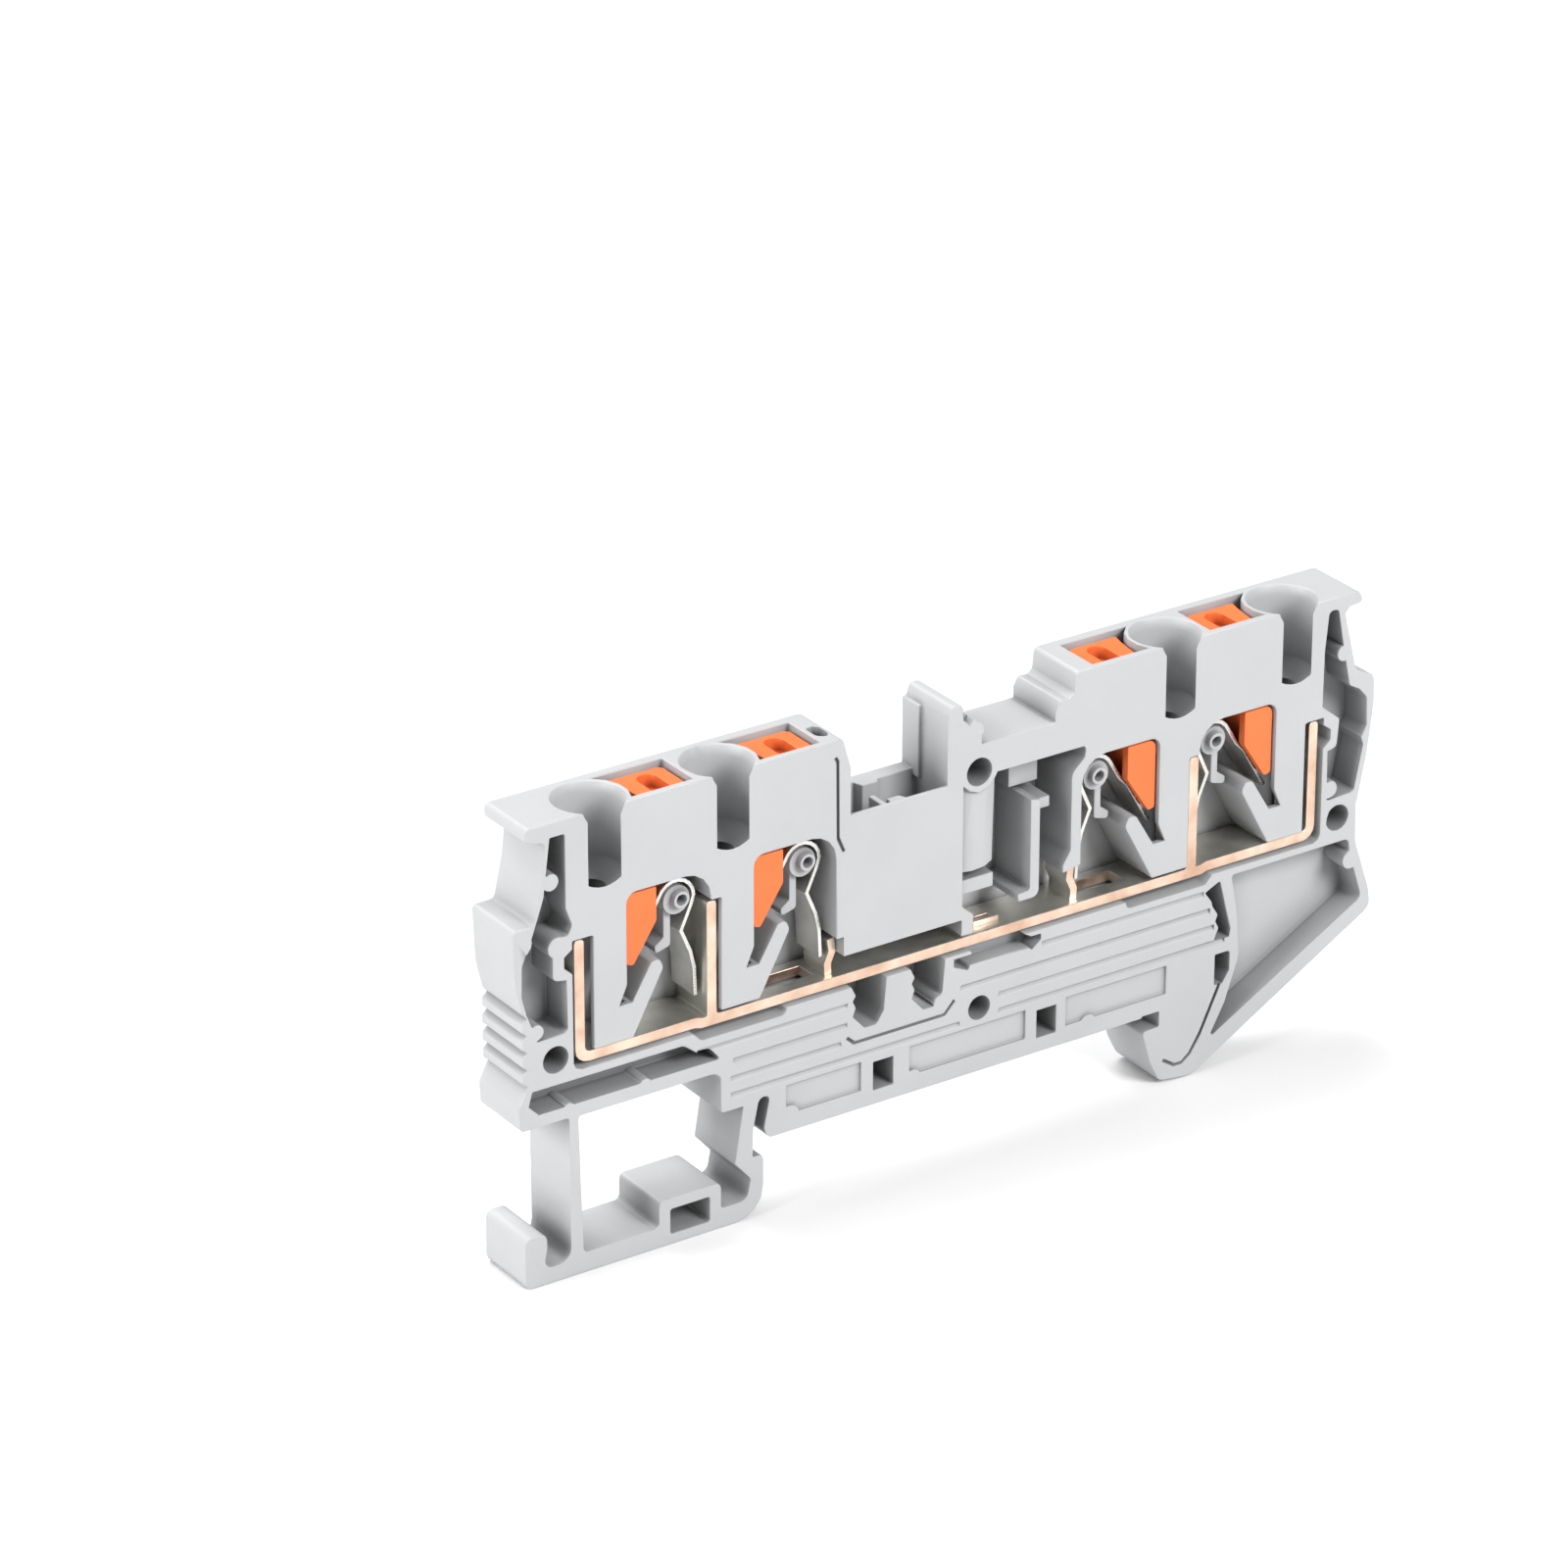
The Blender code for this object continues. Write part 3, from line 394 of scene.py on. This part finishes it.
grey_polyamide = plastic(
    "grey polyamide",
    colour=(0.368, 0.372, 0.38),
    cloud=(0.35, 0.354, 0.362),
    smooth=0.42,
    rough=0.56,
    # painted shade: the grey falls to 0.42 deep in holes and to 0.6 in tight corners
    hole_shade_tone=0.42,
    corner_shade_tone=0.6,
)
orange_polyamide = plastic(
    "orange polyamide",
    colour=(0.72, 0.14, 0.031),
    cloud=(0.67, 0.122, 0.026),
    smooth=0.36,
    rough=0.48,
    # painted shade: the orange falls to 0.65 in holes and to 0.75 in tight corners
    hole_shade_tone=0.65,
    corner_shade_tone=0.75,
)
print("plastics:", grey_polyamide.name, orange_polyamide.name)

# %% [markdown]
# ## What the metals share
#
# Strip metal carries fine rolling lines along its length and faint stains. One group gives both: stretched
# noise for the lines, and slow noise for the stains. The bar and the springs each take it twice, once for the
# rolled faces and once for the cut edges, with their own colours.

# %% Rolled metal as a node group
LINE_SCALE, LINE_DETAIL = 9000.0, 2.0
STAIN_SCALE, STAIN_DETAIL = 420.0, 4.0


def rolled_metal_group():
    group, inside, outside = new_group(
        "rolled metal",
        [
            ("Colour", "NodeSocketColor", (0.7, 0.7, 0.7, 1)),
            ("Stain Colour", "NodeSocketColor", (0.5, 0.5, 0.5, 1)),
            ("Smooth", "NodeSocketFloat", 0.2),
            ("Rough", "NodeSocketFloat", 0.4),
            ("Lines", "NodeSocketVector", (1.0, 1.0, 1.0)),
        ],
        FINISH_OUTPUTS,
    )
    given = inside.outputs
    place = group.nodes.new("ShaderNodeTexCoord").outputs["Object"]
    stretch = group.nodes.new("ShaderNodeMapping")
    group.links.new(place, stretch.inputs["Vector"])
    group.links.new(given["Lines"], stretch.inputs["Scale"])
    lines = noise(group, stretch.outputs["Vector"], LINE_SCALE, LINE_DETAIL)
    stains = noise(group, place, STAIN_SCALE, STAIN_DETAIL)
    cover = ranged(group, stains, 0.0, 1.0)
    colour = mixed(group, cover, given["Colour"], given["Stain Colour"])
    group.links.new(colour, outside.inputs["Colour"])
    rough = ranged(group, lines, given["Smooth"], given["Rough"])
    group.links.new(rough, outside.inputs["Roughness"])
    group.links.new(lines, outside.inputs["Height"])
    return group


rolled_metal = rolled_metal_group()
print("group:", rolled_metal.name)

# %% [markdown]
# ## Tin, bare copper and spring steel
#
# A metal shows its surroundings, so its colour and its roughness do most of the work. Tin is pale and a little
# yellow, the sheared copper is warmer and glossier, and the springs are bright steel with darker, glossier
# edges. The three numbers at the end stretch the rolling lines: a small number makes them long that way.

# %% Metal materials
LINE_DEPTH = 0.000003


def metal(name, colour, stain, smooth, rough, lines):
    material, tree, shader = new_material(name)
    rolled = tree.nodes.new("ShaderNodeGroup")
    rolled.node_tree = rolled_metal
    rolled.inputs["Colour"].default_value = (*colour, 1)
    rolled.inputs["Stain Colour"].default_value = (*stain, 1)
    rolled.inputs["Smooth"].default_value = smooth
    rolled.inputs["Rough"].default_value = rough
    rolled.inputs["Lines"].default_value = lines
    tree.links.new(rolled.outputs["Colour"], shader.inputs["Base Color"])
    tree.links.new(rolled.outputs["Roughness"], shader.inputs["Roughness"])
    add_bump(tree, rolled.outputs["Height"], shader, LINE_DEPTH)
    shader.inputs["Metallic"].default_value = 1.0
    return material


tinned_face = metal(
    "tinned face", (0.8, 0.79, 0.74), (0.6, 0.59, 0.53), 0.34, 0.52, lines=(0.05, 1.0, 0.05)
)
copper_edge = metal(
    "bare copper edge", (0.8, 0.64, 0.52), (0.58, 0.37, 0.26), 0.3, 0.45, lines=(0.2, 1.0, 0.2)
)
spring_face = metal(
    "spring steel face", (0.85, 0.84, 0.81), (0.7, 0.69, 0.66), 0.34, 0.48, lines=(0.6, 0.1, 0.6)
)
spring_edge = metal(
    "spring steel edge", (0.72, 0.71, 0.68), (0.56, 0.55, 0.52), 0.2, 0.34, lines=(0.6, 0.1, 0.6)
)
print("metals:", tinned_face.name, copper_edge.name, spring_face.name, spring_edge.name)

# %% [markdown]
# ## The case
#
# One moulding carries everything, so it is one piece here too. Its copy gets the edge radius and the grey
# skin, and stands for the CAD node, which stays hidden for the physics.

# %% The housing shell
HOUSING_RADIUS = 0.09 * MM
soften(shell, HOUSING_RADIUS)
shell.data.materials.clear()
shell.data.materials.append(grey_polyamide)
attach(shell, "block")
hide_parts("housing")

# %% [markdown]
# ## The current bar
#
# The bar is stamped from tinned copper strip. Tin covers the rolled faces, but the press shears through it, so
# the cut edges show bare copper. Those edges are the faces that look along the block's width, so we give them
# their own material by their normal.

# %% The bar with two finishes
BAR_RADIUS = 0.06 * MM
LOOKS_ALONG_WIDTH = 0.5


def give_edges(piece, faces, edges):
    """The first material everywhere, and the second on the faces that look along the width."""
    piece.data.materials.clear()
    piece.data.materials.append(faces)
    piece.data.materials.append(edges)
    for polygon in piece.data.polygons:
        polygon.material_index = int(abs(polygon.normal.y) > LOOKS_ALONG_WIDTH)


bar = copy_of("current_bar", "bar_strip")
soften(bar, BAR_RADIUS)
give_edges(bar, tinned_face, copper_edge)
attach(bar, "block")
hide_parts("current_bar")

# %% [markdown]
# ## The leg springs
#
# Each spring is a bent steel sheet, and its cut edges look a little darker than its faces. In the real block
# its clamping leg goes down with the pusher while its coil and its other leg stay. Here the copy is baked in
# place, and its faces are cut into triangles. A unit is known by its side, minus on the left, and by how many
# millimetres its wire entry lies from the middle.

# %% The springs
SPRING_RADIUS = 0.05 * MM
OUTER_WIRE, INNER_WIRE = 29.3, 18.95
UNITS = {1: (-1, OUTER_WIRE), 2: (-1, INNER_WIRE), 3: (1, INNER_WIRE), 4: (1, OUTER_WIRE)}

for number, (side, axis) in UNITS.items():
    node = f"leg_spring_{number}"
    spring = copy_of(node, f"spring_sheet_{number}")
    soften(spring, SPRING_RADIUS)
    pick(spring)
    bpy.ops.object.mode_set(mode="EDIT")
    bpy.ops.mesh.select_all(action="SELECT")
    bpy.ops.mesh.quads_convert_to_tris()
    bpy.ops.object.mode_set(mode="OBJECT")
    give_edges(spring, spring_face, spring_edge)
    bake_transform(spring)
    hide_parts(node)

# %% [markdown]
# ## The pushers
#
# Each pusher is a small orange moulding that a screwdriver presses down. The copy gets its edge radius and the
# orange skin and rides on its own body.

# %% The four pushers
PUSHER_RADIUS = 0.07 * MM

for number in UNITS:
    button = copy_of(f"pusher_{number}", f"pusher_button_{number}")
    soften(button, PUSHER_RADIUS)
    button.data.materials.clear()
    button.data.materials.append(orange_polyamide)
    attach(button, f"button_{number}")
    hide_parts(f"pusher_{number}")

# %% [markdown]
# ## Floor, light and camera
#
# The block stands on a plain pale floor, at the height of its foot.

# %% Floor
FLOOR_Z = -5.95 * MM
FLOOR_SIZE = 6
deselect_all()
bpy.ops.mesh.primitive_plane_add(size=FLOOR_SIZE, location=(0, 0, FLOOR_Z))
floor = bpy.context.object
floor.name = "floor"
floor_paint, _, floor_shader = new_material("pale floor")
floor_shader.inputs["Base Color"].default_value = (0.7, 0.7, 0.7, 1)
floor_shader.inputs["Roughness"].default_value = 0.9
floor.data.materials.append(floor_paint)
print("floor at", round(FLOOR_Z / MM, 2), "mm")

# %% [markdown]
# Large soft lights leave gentle shading: the key comes from the front and a little from the right, because the
# open side is the brightest, and the pockets stay dark. The white world fills in the rest.

# %% Lights
BLOCK_MIDDLE = (0, 0, 0.012)
WORLD_STRENGTH = 0.4


def soft_light(name, place, size, power):
    lamp = bpy.data.lights.new(name, "AREA")
    lamp.shape = "SQUARE"
    lamp.size = size
    lamp.energy = power
    holder = bpy.data.objects.new(name, lamp)
    holder.location = place
    aim = Vector(BLOCK_MIDDLE) - Vector(place)
    holder.rotation_euler = aim.to_track_quat("-Z", "Y").to_euler()
    bpy.context.scene.collection.objects.link(holder)
    print(name, "light of", power, "W")


soft_light("key", place=(0.16, -0.55, 0.42), size=0.3, power=6.2)
soft_light("overhead", place=(-0.05, 0.35, 0.62), size=0.5, power=4.8)
soft_light("left fill", place=(-0.6, 0.05, 0.25), size=0.4, power=4.6)
world = bpy.data.worlds.new("studio")
world.use_nodes = True
backdrop = world.node_tree.nodes["Background"]
backdrop.inputs["Color"].default_value = (1, 1, 1, 1)
backdrop.inputs["Strength"].default_value = WORLD_STRENGTH
bpy.context.scene.world = world
bpy.context.scene.view_settings.view_transform = "Standard"

# %% [markdown]
# The camera's place, aim and lens were solved from the photograph, so the render lies over it.

# %% Camera
FILM_MM, LENS_MM = 36, 161.77
NEAREST_VIEW = 0.01
CAMERA_PLACE = (-0.2566, -0.3615, 0.2326)
CAMERA_AIM = (0.5046, 0.7490, -0.4293)
camera = bpy.data.objects.new("camera", bpy.data.cameras.new("camera"))
camera.data.sensor_width = FILM_MM
camera.data.lens = LENS_MM
camera.data.clip_start = NEAREST_VIEW
camera.location = CAMERA_PLACE
camera.rotation_euler = Vector(CAMERA_AIM).to_track_quat("-Z", "Y").to_euler()
bpy.context.scene.collection.objects.link(camera)
bpy.context.scene.camera = camera
print("camera with a", LENS_MM, "mm lens at", CAMERA_PLACE)
